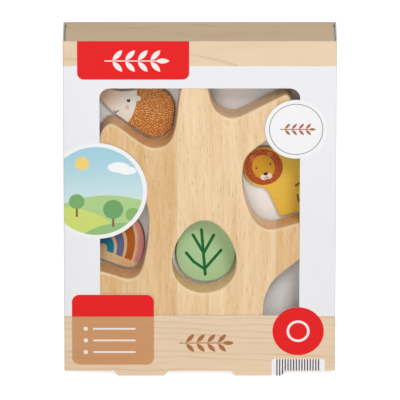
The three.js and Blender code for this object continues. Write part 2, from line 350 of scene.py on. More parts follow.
def folded_cover():
    low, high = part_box("front_panel")
    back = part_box("left_side_panel")[1][1]
    fold_at = high[0] - CREASE
    sheet = saw_line("front_panel", "folded_cover", low[1])
    trim_to_folds(fold_at)
    for side in (-1, 1):
        fold_side(sheet, side, fold_at, low[1], back)
    edit_mode()
    select_mesh("SELECT")
    bpy.ops.mesh.remove_doubles(threshold=WELD)
    bpy.ops.mesh.normals_make_consistent(inside=False)
    object_mode()
    forward = [face for face in sheet.data.polygons if abs(face.normal.y) > SQUARE_ON]
    if sum(face.normal.y * face.area for face in forward) > 0:
        sheet.data.flip_normals()
    apply_modifier(sheet, "SOLIDIFY", thickness=BOARD, offset=-1, use_even_offset=True)
    bpy.ops.object.shade_smooth_by_angle(angle=CARD_SMOOTH_ANGLE)
    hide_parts("front_panel", "left_side_panel", "right_side_panel")
    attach(sheet, "cover")
    xs = [v.co.x for v in sheet.data.vertices]
    ys = [v.co.y for v in sheet.data.vertices]
    print("cover", len(sheet.data.polygons), "faces, x", min(xs), max(xs), "y", min(ys), max(ys))
    return sheet


cover = folded_cover()

# %% [markdown]
# ## Node helpers
# Materials are built from small named groups: a place in millimetres, painted shapes that turn a
# place into a mask, and the grain of wood and board. Colours are written as they look on screen.
# Sums that come back often, such as a soft step past a level, get a short name of their own.


# %% Building nodes in code
def tone(red, green, blue):
    def linear(value):
        value /= 255
        return value / 12.92 if value <= 0.04045 else ((value + 0.055) / 1.055) ** 2.4
    return (linear(red), linear(green), linear(blue), 1.0)


def fill_inputs(tree, made, inputs):
    for key, value in inputs.items():
        if isinstance(value, bpy.types.NodeSocket):
            tree.links.new(value, made.inputs[key])
        else:
            made.inputs[key].default_value = value


def put(tree, kind, inputs=None, **settings):
    made = tree.nodes.new(kind)
    for key, value in settings.items():
        setattr(made, key, value)
    fill_inputs(tree, made, inputs or {})
    return made


def new_group(name, inputs, outputs):
    group = bpy.data.node_groups.new(name, "ShaderNodeTree")
    for label, kind, value in inputs:
        socket = group.interface.new_socket(label, in_out="INPUT", socket_type="NodeSocket" + kind)
        if value is not None:
            socket.default_value = value
    for label, kind in outputs:
        group.interface.new_socket(label, in_out="OUTPUT", socket_type="NodeSocket" + kind)
    print("node group:", name)
    return group, group.nodes.new("NodeGroupInput").outputs, group.nodes.new("NodeGroupOutput").inputs


def use_group(tree, group, inputs):
    made = tree.nodes.new("ShaderNodeGroup")
    made.node_tree = group
    fill_inputs(tree, made, inputs)
    return made.outputs


# %% Sums
SHARP = 20.0


def math_node(tree, operation, a, b=0.0, clamp=False):
    made = put(tree, "ShaderNodeMath", {0: a, 1: b}, operation=operation, use_clamp=clamp)
    return made.outputs[0]


def times(tree, a, b, clamp=False):
    return math_node(tree, "MULTIPLY", a, b, clamp)


def add(tree, a, b, clamp=False):
    return math_node(tree, "ADD", a, b, clamp)


def minus(tree, a, b):
    return math_node(tree, "SUBTRACT", a, b)


def plus(tree, base, value, gain):
    return add(tree, base, times(tree, value, gain))


def swing(tree, value, gain, middle=0.5):
    return times(tree, minus(tree, value, middle), gain)


def past(tree, value, level, sharp=SHARP):
    return times(tree, minus(tree, value, level), sharp, True)


def short_of(tree, value, level, sharp=SHARP):
    return past(tree, level, value, sharp)


# %% Vectors, colours and noise
def vector_node(tree, operation, a, b=(0, 0, 0)):
    made = put(tree, "ShaderNodeVectorMath", {0: a, 1: b}, operation=operation)
    return made.outputs["Value" if operation in ("LENGTH", "DISTANCE", "DOT_PRODUCT") else "Vector"]


def split(tree, vector):
    return put(tree, "ShaderNodeSeparateXYZ", {0: vector}).outputs


def join(tree, x, y, z=0.0):
    return put(tree, "ShaderNodeCombineXYZ", {0: x, 1: y, 2: z}).outputs[0]


def mix_colour(tree, mask, under, over, blend="MIX"):
    made = put(tree, "ShaderNodeMix", {0: mask, 6: under, 7: over}, data_type="RGBA", blend_type=blend)
    return made.outputs[2]


def noise(tree, spot, scale, detail, roughness=0.5, distortion=0.0):
    return put(tree, "ShaderNodeTexNoise", {
        "Vector": spot, "Scale": scale, "Detail": detail,
        "Roughness": roughness, "Distortion": distortion}).outputs["Fac"]


def stretched_noise(tree, spot, stretch, detail, roughness=0.5, distortion=0.0):
    return noise(tree, vector_node(tree, "MULTIPLY", spot, stretch), 1.0, detail, roughness, distortion)


def chance_of(tree, number):
    return put(tree, "ShaderNodeTexWhiteNoise", {"W": number}, noise_dimensions="1D").outputs["Value"]


# %% Place: object coordinates turned into millimetres on the carton's front
TO_MM = (1000, 1000, 1000)


def make_place_group():
    group, given, out = new_group(
        "place in millimetres",
        [("Object", "Vector", None), ("Origin", "Vector", (0, 0, 0)), ("Turn", "Float", 0.0)],
        [("Place", "Vector"), ("Across", "Float"), ("Up", "Float"), ("Depth", "Float")])
    parts = split(group, vector_node(group, "MULTIPLY", given["Object"], TO_MM))
    moved = vector_node(group, "SUBTRACT", join(group, parts["X"], parts["Z"]), given["Origin"])
    turned = put(
        group, "ShaderNodeVectorRotate", {"Vector": moved, "Angle": given["Turn"]},
        rotation_type="Z_AXIS").outputs[0]
    own = split(group, turned)
    for label, socket in (("Place", turned), ("Across", own["X"]), ("Up", own["Y"]), ("Depth", parts["Y"])):
        group.links.new(socket, out[label])
    return group


PLACE = make_place_group()

# %% [markdown]
# ## Painted shapes
# Paint and print are made of a few flat shapes. Each is a group that measures how far a place lies
# inside the shape, and divides that by the softness of the edge to get a mask from 0 to 1. A picture
# could do the same, but a measured shape stays sharp however near the camera comes.

# %% Painted shapes: disc, stroke and box
PAINT_SOFT = 0.25


def make_disc_group():
    group, given, out = new_group(
        "painted disc",
        [("Place", "Vector", None), ("Centre", "Vector", (0, 0, 0)), ("Stretch", "Vector", (1, 1, 1)),
         ("Radius", "Float", 1.0), ("Soft", "Float", PAINT_SOFT)],
        [("Mask", "Float")])
    offset = vector_node(group, "SUBTRACT", given["Place"], given["Centre"])
    offset = vector_node(group, "MULTIPLY", offset, given["Stretch"])
    inside = minus(group, given["Radius"], vector_node(group, "LENGTH", offset))
    group.links.new(math_node(group, "DIVIDE", inside, given["Soft"], True), out["Mask"])
    return group


def make_stroke_group():
    group, given, out = new_group(
        "painted stroke",
        [("Place", "Vector", None), ("From", "Vector", (0, 0, 0)), ("To", "Vector", (1, 0, 0)),
         ("Half width", "Float", 0.5), ("Soft", "Float", PAINT_SOFT)],
        [("Mask", "Float")])
    along = vector_node(group, "SUBTRACT", given["To"], given["From"])
    offset = vector_node(group, "SUBTRACT", given["Place"], given["From"])
    share = math_node(
        group, "DIVIDE", vector_node(group, "DOT_PRODUCT", offset, along),
        vector_node(group, "DOT_PRODUCT", along, along), True)
    scaled = put(group, "ShaderNodeVectorMath", {0: along, "Scale": share}, operation="SCALE").outputs[0]
    reach = vector_node(group, "DISTANCE", offset, scaled)
    inside = minus(group, given["Half width"], reach)
    group.links.new(math_node(group, "DIVIDE", inside, given["Soft"], True), out["Mask"])
    return group


def make_box_group():
    group, given, out = new_group(
        "painted box",
        [("Place", "Vector", None), ("Centre", "Vector", (0, 0, 0)), ("Half size", "Vector", (1, 1, 1)),
         ("Corner", "Float", 0.5), ("Soft", "Float", PAINT_SOFT)],
        [("Mask", "Float")])
    offset = vector_node(group, "ABSOLUTE", vector_node(group, "SUBTRACT", given["Place"], given["Centre"]))
    corner = join(group, given["Corner"], given["Corner"])
    beyond = vector_node(group, "ADD", vector_node(group, "SUBTRACT", offset, given["Half size"]), corner)
    parts = split(group, beyond)
    flat = join(group, parts["X"], parts["Y"])
    outer = vector_node(group, "LENGTH", vector_node(group, "MAXIMUM", flat, (0, 0, 0)))
    inner = math_node(group, "MINIMUM", math_node(group, "MAXIMUM", parts["X"], parts["Y"]), 0.0)
    inside = minus(group, given["Corner"], add(group, outer, inner))
    group.links.new(math_node(group, "DIVIDE", inside, given["Soft"], True), out["Mask"])
    return group


DISC = make_disc_group()
STROKE = make_stroke_group()
BOX = make_box_group()


# %% Masks and coats of paint
def disc(tree, place, x, z, radius, soft=PAINT_SOFT, stretch=(1, 1)):
    return use_group(tree, DISC, {
        "Place": place, "Centre": (x, z, 0), "Radius": radius, "Soft": soft,
        "Stretch": (*stretch, 1)})["Mask"]


def stroke(tree, place, start, end, half_width):
    return use_group(tree, STROKE, {
        "Place": place, "From": (*start, 0), "To": (*end, 0), "Half width": half_width})["Mask"]


def box(tree, place, x0, x1, z0, z1, corner):
    return use_group(tree, BOX, {
        "Place": place, "Centre": ((x0 + x1) / 2, (z0 + z1) / 2, 0),
        "Half size": ((x1 - x0) / 2, (z1 - z0) / 2, 0), "Corner": corner})["Mask"]


def strokes(tree, place, lines, half_width):
    mask = None
    for start, end in lines:
        one = stroke(tree, place, start, end, half_width)
        mask = one if mask is None else math_node(tree, "MAXIMUM", mask, one)
    return mask


def layers(tree, colour, *coats):
    for mask, paint in coats:
        colour = mix_colour(tree, mask, colour, tone(*paint))
    return colour


def dots(tree, place, colour, *marks):
    for paint, *shape in marks:
        colour = layers(tree, colour, (disc(tree, place, *shape), paint))
    return colour


# %% [markdown]
# ## Wood grain
# Pale hardwood shows five things at arm's length: staves glued edge to edge, slow bands of warm and
# pale wood, faint growth rings, fine fibres along the trunk, and short pores. The group makes them by
# stretching noise along Z. Each stave gets its own tint and its own piece of the noise.

# %% Wood grain group
PALE_WOOD = (252, 228, 190)
WARM_WOOD = (217, 173, 115)
PORE_BROWN = (172, 118, 66)
STAVE_WIDTH = 71.0
STAVE_SHIFT = 16.3
STAVE_STEP = 0.55
STAVE_START = 0.4
STAVE_TILT = 0.68
STAVE_LEAP = 400.0
RING_SPACING = 8.0
RING_SWELL = 60.0
MIDDLE_WARMTH = 0.42
BAND_WEIGHT = 0.9
RING_WEIGHT = 0.14
FIBRE_WEIGHT = 0.9
PORE_WEIGHT = 0.5
JOINT_WEIGHT = 0.3


def make_wood_group():
    group, given, out = new_group(
        "wood grain",
        [("Object", "Vector", None), ("Pale", "Color", tone(*PALE_WOOD)),
         ("Warm", "Color", tone(*WARM_WOOD)), ("Pore", "Color", tone(*PORE_BROWN)),
         ("Stave width", "Float", STAVE_WIDTH)],
        [("Color", "Color"), ("Height", "Float"), ("Roughness", "Float")])
    scaled = vector_node(group, "MULTIPLY", given["Object"], TO_MM)
    across = split(group, scaled)["X"]
    counted = add(group, across, STAVE_SHIFT)
    counted = math_node(group, "DIVIDE", counted, given["Stave width"])
    stave = math_node(group, "FLOOR", counted)
    tint = math_node(group, "FRACT", plus(group, STAVE_START, stave, STAVE_STEP))
    shifted = vector_node(group, "ADD", scaled, join(group, 0.0, 0.0, times(group, tint, STAVE_LEAP)))
    slow = stretched_noise(group, shifted, (0.07, 0.07, 0.008), 2.0, 0.5, 0.6)
    swell = stretched_noise(group, shifted, (0.02, 0.02, 0.006), 2.0)
    level = math_node(group, "DIVIDE", plus(group, across, swell, RING_SWELL), RING_SPACING)
    ring = math_node(group, "FRACT", level)
    fibre = stretched_noise(group, shifted, (1.9, 1.9, 0.06), 4.0, 0.7)
    speck = stretched_noise(group, shifted, (1.7, 1.7, 0.17), 1.0)
    patch = stretched_noise(group, shifted, (0.05, 0.05, 0.02), 1.0)
    pore = times(group, past(group, speck, 0.60, 7.0), times(group, patch, 1.4))
    blend = plus(group, swing(group, slow, BAND_WEIGHT), times(group, ring, ring), RING_WEIGHT)
    blend = add(group, blend, swing(group, fibre, FIBRE_WEIGHT))
    tilt = add(group, swing(group, tint, STAVE_TILT, STAVE_START), MIDDLE_WARMTH)
    blend = add(group, blend, tilt, True)
    colour = mix_colour(group, blend, given["Pale"], given["Warm"])
    colour = mix_colour(group, times(group, pore, PORE_WEIGHT), colour, given["Pore"])
    edge = minus(group, math_node(group, "FRACT", counted), 0.5)
    joint = past(group, math_node(group, "ABSOLUTE", edge), 0.4972, 300.0)
    colour = mix_colour(group, times(group, joint, JOINT_WEIGHT), colour, given["Pore"])
    height = minus(group, times(group, fibre, 0.4), times(group, pore, 0.8))
    group.links.new(colour, out["Color"])
    group.links.new(height, out["Height"])
    group.links.new(plus(group, 0.26, fibre, 0.16), out["Roughness"])
    return group


WOOD = make_wood_group()


# %% Starting a material
def start_material(name):
    material = bpy.data.materials.new(name)
    material.use_nodes = True
    tree = material.node_tree
    tree.nodes.clear()
    shader = tree.nodes.new("ShaderNodeBsdfPrincipled")
    output = tree.nodes.new("ShaderNodeOutputMaterial")
    tree.links.new(shader.outputs[0], output.inputs[0])
    spot = tree.nodes.new("ShaderNodeTexCoord").outputs["Object"]
    print("material:", name)
    return material, tree, shader, spot


def finish_coat(tree, shader, colour, roughness, gloss):
    tree.links.new(colour, shader.inputs["Base Color"])
    tree.links.new(roughness, shader.inputs["Roughness"])
    shader.inputs["Specular IOR Level"].default_value = gloss


def add_bump(tree, shader, height, strength, distance):
    bump = put(tree, "ShaderNodeBump", {"Height": height, "Strength": strength, "Distance": distance})
    tree.links.new(bump.outputs[0], shader.inputs["Normal"])


def dress(piece, material):
    piece.data.materials.clear()
    piece.data.materials.append(material)


# %% [markdown]
# The tree is oiled, not painted. A painted warm bounce light tints its sawn edges warmer than its face,
# and a painted highlight makes the rim between them pale. Which is which follows from the way the
# surface points, so no separate faces have to be marked.

# %% Natural wood of the tree
# painted light: a warm bounce-light tint for the edges, then a pale rim highlight and its strength
EDGE_BOUNCE_TINT = (255, 241, 232)
PAINTED_RIM_HIGHLIGHT = (255, 234, 196)
PAINTED_HIGHLIGHT_PEAK = 3.2
OIL_GLOSS = 0.5
GRAIN_DEPTH = 0.2 * MM


def tree_wood():
    material, tree, shader, spot = start_material("oiled_wood")
    wood = use_group(tree, WOOD, {"Object": spot})
    facing = tree.nodes.new("ShaderNodeTexCoord").outputs["Normal"]
    front = math_node(tree, "ABSOLUTE", split(tree, facing)["Y"])
    edge = minus(tree, 1.0, front)
    rim_highlight = times(tree, times(tree, front, front), edge)
    # painted warm bounce light: surfaces facing sideways are tinted warmer than the face
    colour = mix_colour(tree, edge, wood["Color"], tone(*EDGE_BOUNCE_TINT), "MULTIPLY")
    # painted highlight: the rounded rim between face and edge is made pale
    colour = mix_colour(tree, times(tree, rim_highlight, PAINTED_HIGHLIGHT_PEAK, True), colour, tone(*PAINTED_RIM_HIGHLIGHT))
    finish_coat(tree, shader, colour, wood["Roughness"], OIL_GLOSS)
    add_bump(tree, shader, wood["Height"], 0.35, GRAIN_DEPTH)
    return material


dress(sanded["tree"], tree_wood())

# %% [markdown]
# ## Painted faces
# Only the faces of the loose pieces are painted; their edges stay bare wood. Each face is drawn in
# the piece's own upright frame, in millimetres, so a tilted piece is painted as it was drawn.

# %% A painted piece
FACE_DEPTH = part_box("leaf")[0][1] / MM
PAINT_EDGE = 1.1
PAINT_SHARP = 3.0
PAINT_GLOSS = 0.22
PIECE_PALE = (238, 214, 172)
PIECE_WARM = (222, 186, 136)
ONE_STAVE = 400.0
BRUSH_SCALE = 260.0


def painted(name, origin, turn, draw):
    material, tree, shader, spot = start_material("painted_" + name)
    spots = use_group(tree, PLACE, {"Object": spot, "Origin": (*origin, 0), "Turn": math.radians(turn)})
    wood = use_group(tree, WOOD, {
        "Object": spot, "Pale": tone(*PIECE_PALE), "Warm": tone(*PIECE_WARM), "Stave width": ONE_STAVE})
    colour, cover_mask = draw(tree, spots, wood["Color"])
    brush = noise(tree, spot, BRUSH_SCALE, 5.0, 0.7)
    shade = plus(tree, 0.93, brush, 0.14)
    colour = mix_colour(tree, 1.0, colour, join(tree, shade, shade, shade), "MULTIPLY")
    front = short_of(tree, spots["Depth"], FACE_DEPTH + PAINT_EDGE, PAINT_SHARP)
    colour = mix_colour(tree, times(tree, front, cover_mask), wood["Color"], colour)
    finish_coat(tree, shader, colour, plus(tree, 0.40, brush, 0.25), PAINT_GLOSS)
    height = plus(tree, times(tree, wood["Height"], 0.6), brush, 0.3)
    add_bump(tree, shader, height, 0.25, GRAIN_DEPTH)
    dress(sanded[name], material)


# %% Leaf
LEAF_GREEN = (176, 211, 160)
VEIN_GREEN = (0, 104, 48)
VEINS = [
    ((1.2, 104.1), (3.9, 69.8)), ((-4.9, 100.0), (2.8, 86.1)), ((10.0, 100.0), (2.8, 86.1)),
    ((-9.7, 86.3), (-4.3, 79.4)), ((-4.3, 79.4), (3.7, 73.7)), ((15.3, 88.4), (3.8, 74.4)),
]


def draw_leaf(tree, spots, wood):
    veins = strokes(tree, spots["Place"], VEINS, 1.2)
    return layers(tree, tone(*LEAF_GREEN), (veins, VEIN_GREEN)), 1.0


painted("leaf", (0, 0), 0, draw_leaf)

# %% [markdown]
# The hedgehog's quills are short strokes in rows round its middle. Rows and columns are counted from
# the middle outward, and every cell of that grid holds one stroke of its own length and place.

# %% Hedgehog
QUILL_CENTRE = (-16.0, 9.0)
QUILL_ROW = 2.5
QUILL_GAP = 1.6
QUILL_SWAY = 3.2
QUILL_SHUFFLE = 9.0
QUILL_DARK = (190, 114, 46)
QUILL_PALE = (248, 206, 148)
CHEEK_PALE = (240, 233, 224)
SNOUT_TAN = (236, 202, 170)
HEDGEHOG_MOUTH = [((-23.3, 3.2), (-22.2, 2.4)), ((-22.2, 2.4), (-21.0, 5.0))]
HEDGEHOG_MARKS = [
    ((238, 228, 216), -14.6, 20.4, 2.1), ((226, 192, 176), -17.2, 10.4, 2.3, 1.6),
    ((34, 30, 28), -19.4, 15.3, 1.4), ((240, 240, 240), -19.9, 15.8, 0.4),
    ((58, 40, 32), -43.6, 11.0, 2.0),
]


def round_a_centre(tree, spots, centre):
    u = minus(tree, spots["Across"], centre[0])
    v = minus(tree, spots["Up"], centre[1])
    return vector_node(tree, "LENGTH", join(tree, u, v)), math_node(tree, "ARCTAN2", v, u)


def quill_strokes(tree, spots):
    reach, angle = round_a_centre(tree, spots, QUILL_CENTRE)
    sway = swing(tree, noise(tree, spots["Place"], 0.22, 2.0), QUILL_SWAY)
    row = add(tree, math_node(tree, "DIVIDE", reach, QUILL_ROW), sway)
    ring = math_node(tree, "FLOOR", row)
    column = times(tree, angle, times(tree, ring, QUILL_ROW / QUILL_GAP))
    column = plus(tree, column, chance_of(tree, ring), QUILL_SHUFFLE)
    cell = join(tree, ring, math_node(tree, "FLOOR", column))
    chance = put(tree, "ShaderNodeTexWhiteNoise", {"Vector": cell}, noise_dimensions="2D").outputs["Value"]
    across = minus(tree, math_node(tree, "FRACT", column), 0.5)
    across = math_node(tree, "ABSOLUTE", add(tree, across, swing(tree, chance, 0.4)))
    along = minus(tree, math_node(tree, "FRACT", row), 0.5)
    along = math_node(tree, "ABSOLUTE", along)
    ends = short_of(tree, along, plus(tree, 0.24, chance, 0.16), 8.0)
    return times(tree, short_of(tree, across, 0.19, 8.0), ends)


def draw_hedgehog(tree, spots, wood):
    place = spots["Place"]
    quills = layers(tree, tone(*QUILL_DARK), (quill_strokes(tree, spots), QUILL_PALE))
    tan = short_of(tree, spots["Across"], -21.0, 0.07)
    skin = mix_colour(tree, tan, tone(*CHEEK_PALE), tone(*SNOUT_TAN))
    colour = mix_colour(tree, disc(tree, place, -47.2, 1.5, 36.9), quills, skin)
    colour = dots(tree, place, colour, *HEDGEHOG_MARKS)
    mouth = strokes(tree, place, HEDGEHOG_MOUTH, 0.45)
    return layers(tree, colour, (mouth, (58, 44, 36))), 1.0


painted("hedgehog", (-43.4, 179.2), 34, draw_hedgehog)

# %% [markdown]
# The lion's mane is brushed outward. Noise read by angle and distance, much finer round the head than
# along the hair, gives strands that all point to the middle of the face.

# %% Lion
MANE_CENTRE = (-15.0, 38.4)
MANE_RADIUS = 14.1
MANE_DARK = (162, 62, 26)
MANE_LIGHT = (226, 124, 60)
STRANDS_ROUND = 20.0
STRANDS_ALONG = 0.7
LION_COAT = (238, 195, 76)
EAR_BROWN = (202, 116, 52)
MUZZLE = (240, 224, 204)
DARK_EYE = (34, 28, 26)
LION_MARKS = [
    (EAR_BROWN, -21.4, 46.6, 2.5, 0.9), (EAR_BROWN, -8.4, 46.8, 2.5, 0.9),
    ((212, 156, 42), -15.1, 38.3, 8.3, 0.4, (1.0, 0.87)),
    (MUZZLE, -16.6, 30.9, 2.6, 0.5), (MUZZLE, -12.9, 30.9, 2.6, 0.5),
    (DARK_EYE, -20.2, 38.7, 0.82), (DARK_EYE, -9.7, 39.3, 0.82),
    ((44, 30, 26), -14.7, 33.0, 1.45, 0.25, (0.75, 1.2)),
]
LION_MOUTH = [
    ((-14.7, 32.4), (-14.7, 30.4)), ((-14.7, 30.4), (-16.4, 29.5)), ((-14.7, 30.4), (-13.0, 29.5)),
]
LION_TAIL = [((4.2, 19.0), (8.0, 20.6)), ((8.0, 20.6), (9.6, 17.2)), ((3.6, 11.6), (3.4, 6.8))]


def mane_fur(tree, spots):
    reach, angle = round_a_centre(tree, spots, MANE_CENTRE)
    around = join(tree, times(tree, angle, STRANDS_ROUND), times(tree, reach, STRANDS_ALONG))
    strands = past(tree, noise(tree, around, 1.0, 2.0), 0.46, 6.0)
    return layers(tree, tone(*MANE_DARK), (times(tree, strands, 0.7), MANE_LIGHT))


def draw_lion(tree, spots, wood):
    place = spots["Place"]
    mane = disc(tree, place, *MANE_CENTRE, MANE_RADIUS, 0.5)
    colour = mix_colour(tree, mane, tone(*LION_COAT), mane_fur(tree, spots))
    colour = dots(tree, place, colour, *LION_MARKS)
    mouth = strokes(tree, place, LION_MOUTH, 0.32)
    tail = strokes(tree, place, LION_TAIL, 1.0)
    return layers(tree, colour, (mouth, (86, 56, 40)), (tail, (168, 96, 36))), 1.0


painted("lion", (69.5, 118.5), -14, draw_lion)

# %% [markdown]
# The rainbow's bands are painted with bare wood left between them. A band is the space between two
# distances from the middle of the arch, stretched upward because the arch is taller than a circle.

# %% Rainbow
RAINBOW_RADIUS = 33.0
RAINBOW_SHORT_SIDE = 21.0
RAINBOW_FEET = 1.1
RAINBOW_TALL = 1.4
RAINBOW_BANDS = [
    (4.1, 9.2, (8, 132, 160)), (10.7, 16.0, (104, 106, 146)), (17.5, 23.3, (182, 94, 22)),
    (24.7, 42.0, (224, 150, 144)),
]


def draw_rainbow(tree, spots, wood):
    far_side = math_node(tree, "MINIMUM", spots["Across"], 0.0)
    near_side = math_node(tree, "MAXIMUM", spots["Across"], 0.0)
    across = plus(tree, near_side, far_side, RAINBOW_RADIUS / RAINBOW_SHORT_SIDE)
    up = math_node(tree, "DIVIDE", spots["Up"], RAINBOW_TALL)
    reach = vector_node(tree, "LENGTH", join(tree, across, up))
    feet = past(tree, spots["Up"], RAINBOW_FEET, PAINT_SHARP)
    colour = wood
    cover_mask = 0.0
    for inner, outer, paint in RAINBOW_BANDS:
        begun = past(tree, reach, inner, PAINT_SHARP)
        band = times(tree, times(tree, begun, short_of(tree, reach, outer, PAINT_SHARP)), feet)
        colour = layers(tree, colour, (band, paint))
        cover_mask = math_node(tree, "MAXIMUM", band, cover_mask)
    return colour, cover_mask


painted("rainbow", (-71.2, 88.1), 22.7, draw_rainbow)

# %% [markdown]
# The other five pieces lie behind the printed panels and show when the cover is off. Their faces are
# plain: one coat, and a few dots placed from the middle of the piece's foot.

# %% Marks of the hidden pieces
BLUSH = (236, 196, 190)
CLOUD_EYE = (50, 52, 60)
CLOUD_MARKS = [
    (BLUSH, -8.0, 6.4, 2.0, 1.0), (BLUSH, 8.0, 6.4, 2.0, 1.0),
    (CLOUD_EYE, -5.0, 9.4, 0.9), (CLOUD_EYE, 5.0, 9.4, 0.9),
]
BIRD_MARKS = [
    ((104, 168, 202), 3.2, 14.0, 7.0, 0.25, (1.0, 0.62)),
    ((238, 232, 214), -6.0, 10.0, 5.4, 0.6, (1.0, 0.6)),
    ((232, 160, 60), -11.6, 27.2, 2.6), ((34, 34, 40), -4.0, 29.4, 1.1),
]
FOX_CREAM = (242, 228, 208)
FOX_EYE = (40, 30, 26)
FOX_EAR = (120, 64, 34)
FOX_MARKS = [
    (FOX_CREAM, -11.6, 17.6, 6.4, 0.3, (0.86, 1.25)), (FOX_CREAM, 19.0, 8.0, 6.0, 0.3),
    (FOX_EYE, -15.6, 22.8, 1.0), (FOX_EYE, -7.6, 22.8, 1.0), ((48, 34, 28), -11.6, 17.4, 1.5),
    (FOX_EAR, -17.2, 30.2, 1.7, 0.3, (1.2, 0.7)), (FOX_EAR, -6.2, 30.2, 1.7, 0.3, (1.2, 0.7)),
]
CAP_FOOT = 14.4
CAP_RED = (214, 50, 42)
CAP_DOT = (245, 238, 226)
MUSHROOM_MARKS = [
    (CAP_DOT, -8.4, 21.0, 2.6), (CAP_DOT, 1.2, 24.6, 3.2), (CAP_DOT, 8.6, 19.4, 2.2),
    (CAP_DOT, -2.4, 31.6, 2.2), (CAP_DOT, 7.4, 29.0, 1.7),
]
SHELL_LINES = [
    ((-7.0, 9.0), (14.0, 9.0)), ((3.4, 9.0), (3.4, 20.6)),
    ((-2.6, 9.0), (-4.4, 18.2)), ((9.2, 9.0), (11.0, 17.6)),
]
EDGE_SHARP = 4.0


# %% Faces of the hidden pieces
def upright(node):
    low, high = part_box(node)
    return ((low[0] + high[0]) / 2 / MM, low[2] / MM)


def dotted_face(coat, marks):
    def draw(tree, spots, wood):
        return dots(tree, spots["Place"], tone(*coat), *marks), 1.0
    return draw


def draw_mushroom(tree, spots, wood):
    cap = past(tree, spots["Up"], CAP_FOOT, EDGE_SHARP)
    colour = layers(tree, tone(240, 226, 200), (cap, CAP_RED))
    return dots(tree, spots["Place"], colour, *MUSHROOM_MARKS), 1.0


def draw_turtle(tree, spots, wood):
    place = spots["Place"]
    shell = disc(tree, place, 3.4, 8.6, 12.0, 0.3, (1.0, 0.92))
    lines = times(tree, strokes(tree, place, SHELL_LINES, 0.5), shell)
    colour = layers(tree, tone(136, 190, 170), (shell, (70, 150, 140)), (lines, (206, 226, 206)))
    return dots(tree, place, colour, ((34, 40, 40), -14.2, 15.6, 0.95)), 1.0


HIDDEN_FACES = {
    "cloud": dotted_face((226, 234, 240), CLOUD_MARKS),
    "bird": dotted_face((150, 200, 224), BIRD_MARKS),
    "fox": dotted_face((222, 128, 58), FOX_MARKS),
    "mushroom": draw_mushroom,
    "turtle": draw_turtle,
}
for node, draw in HIDDEN_FACES.items():
    painted(node, upright(node), 0, draw)
print("loose pieces painted:", len(LOOSE))

# %% [markdown]
# ## Printed board
# The carton is white folding board. Its print shows wood along the top and the foot, a red tab over
# a brown field, discs and a plain banner. Board has a faint fibre and a slight gloss from varnish.


# %% Board fibre group
def make_board_group():
    group, given, out = new_group(
        "board fibre", [("Object", "Vector", None)],
        [("Shade", "Color"), ("Height", "Float"), ("Roughness", "Float")])
    fine = noise(group, given["Object"], 900.0, 3.0)
    broad = noise(group, given["Object"], 14.0, 3.0)
    shade = add(group, plus(group, times(group, fine, 0.03), broad, 0.05), 0.955)
    group.links.new(join(group, shade, shade, shade), out["Shade"])
    group.links.new(plus(group, fine, broad, 2.0), out["Height"])
    group.links.new(plus(group, 0.34, broad, 0.2), out["Roughness"])
    return group


BOARD_FIBRE = make_board_group()

# %% Printed wood group
PRINT_PAPER = (235, 211, 180)
PRINT_INK = (190, 142, 98)
PRINT_SLOPE = 0.03


def make_print_group():
    group, given, out = new_group(
        "printed wood",
        [("Along", "Float", 0.0), ("Across", "Float", 0.0), ("Spacing", "Float", 4.6),
         ("Sway", "Float", 7.0), ("Lines", "Float", 0.6),
         ("Paper", "Color", tone(*PRINT_PAPER)), ("Ink", "Color", tone(*PRINT_INK))],
        [("Color", "Color")])
    spot = join(group, given["Along"], given["Across"])
    swell = swing(group, stretched_noise(group, spot, (0.011, 0.035, 1.0), 2.0), 2.0)
    level = plus(group, given["Across"], swell, given["Sway"])
    level = plus(group, level, given["Along"], PRINT_SLOPE)
    level = math_node(group, "DIVIDE", level, given["Spacing"])
    ring = math_node(group, "FRACT", level)
    line = times(group, math_node(group, "POWER", ring, 5.0), short_of(group, ring, 1.0, 14.0))
    strength = chance_of(group, math_node(group, "FLOOR", level))
    fade = stretched_noise(group, spot, (0.03, 0.10, 1.0), 1.0)
    line = times(group, line, add(group, strength, 0.25))
    line = times(group, line, times(group, fade, 1.5))
    fibre = stretched_noise(group, spot, (0.09, 2.4, 1.0), 3.0, 0.6)
    blotch = stretched_noise(group, spot, (0.012, 0.05, 1.0), 2.0)
    ink = times(group, line, given["Lines"])
    ink = add(group, ink, swing(group, fibre, 0.34, 0.46))
    ink = add(group, ink, swing(group, blotch, 0.4), True)
    group.links.new(mix_colour(group, ink, given["Paper"], given["Ink"]), out["Color"])
    return group


PRINT_WOOD = make_print_group()

# %% Board materials and their printed wood
WHITE_BOARD = (240, 240, 243)
BARE_BOARD = (222, 220, 215)
BOARD_GLOSS = 0.15
FIBRE_DEPTH = 0.1 * MM
TOP_BAND = 236.6
FOOT_BAND = 46.4


def board_material(name, draw):
    material, tree, shader, spot = start_material(name)
    spots = use_group(tree, PLACE, {"Object": spot})
    fibre = use_group(tree, BOARD_FIBRE, {"Object": spot})
    colour = mix_colour(tree, 1.0, draw(tree, spots), fibre["Shade"], "MULTIPLY")
    finish_coat(tree, shader, colour, fibre["Roughness"], BOARD_GLOSS)
    add_bump(tree, shader, fibre["Height"], 0.12, FIBRE_DEPTH)
    return material


def printed_planks(tree, along, across):
    return use_group(tree, PRINT_WOOD, {"Along": along, "Across": across})["Color"]


def flat_sawn_planks(tree, along, across):
    return use_group(tree, PRINT_WOOD, {
        "Along": along, "Across": across, "Spacing": 12.0, "Sway": 26.0, "Lines": 0.5})["Color"]


def wood_bands(tree, spots, along):
    top = past(tree, spots["Up"], TOP_BAND, EDGE_SHARP)
    foot = short_of(tree, spots["Up"], FOOT_BAND, EDGE_SHARP)
    colour = mix_colour(tree, foot, tone(*WHITE_BOARD), printed_planks(tree, along, spots["Up"]))
    return mix_colour(tree, top, colour, flat_sawn_planks(tree, along, spots["Up"]))


# %% [markdown]
# ## The front print
# Everything on the front is drawn from its place in millimetres: a banner, a landscape, sprigs, discs,
# lines and an even row of bars. The shapes are laid over one another in the order of the inks.

